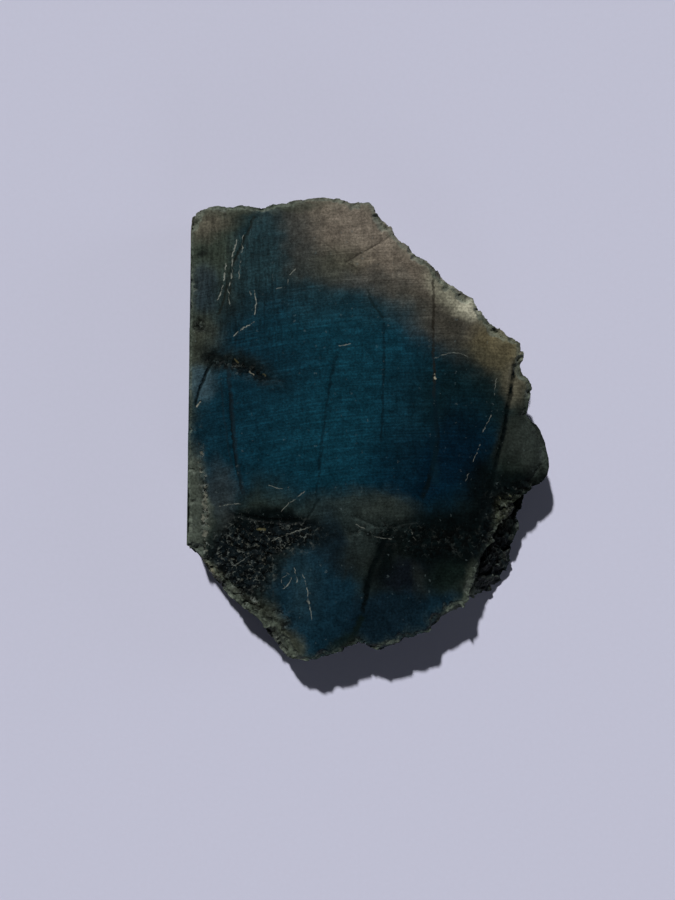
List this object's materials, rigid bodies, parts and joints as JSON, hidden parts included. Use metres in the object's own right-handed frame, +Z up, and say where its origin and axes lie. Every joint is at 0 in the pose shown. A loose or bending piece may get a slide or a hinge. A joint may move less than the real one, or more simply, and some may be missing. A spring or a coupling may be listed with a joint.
{
  "type": "rough labradorite slab",
  "caption": "Flat sawn slab of rough labradorite with broken edges and a blue flash on its unpolished face, for display, lapidary work or set dressing.",
  "frame": {"origin": "middle of the slab's bounding box, on the plane of its sawn underside", "axes": "+Z up through the thickness, out of the upper sawn face; +Y along the slab, away from its pointed end; +X across it, away from the straight sawn edge"},
  "size_m": [0.0872, 0.1116, 0.0088],
  "materials": {
    "labradorite": "matte sawn, unpolished"
  },
  "bodies": {
    "root": {"labradorite_slab": "labradorite"}
  },
  "joints": []
}
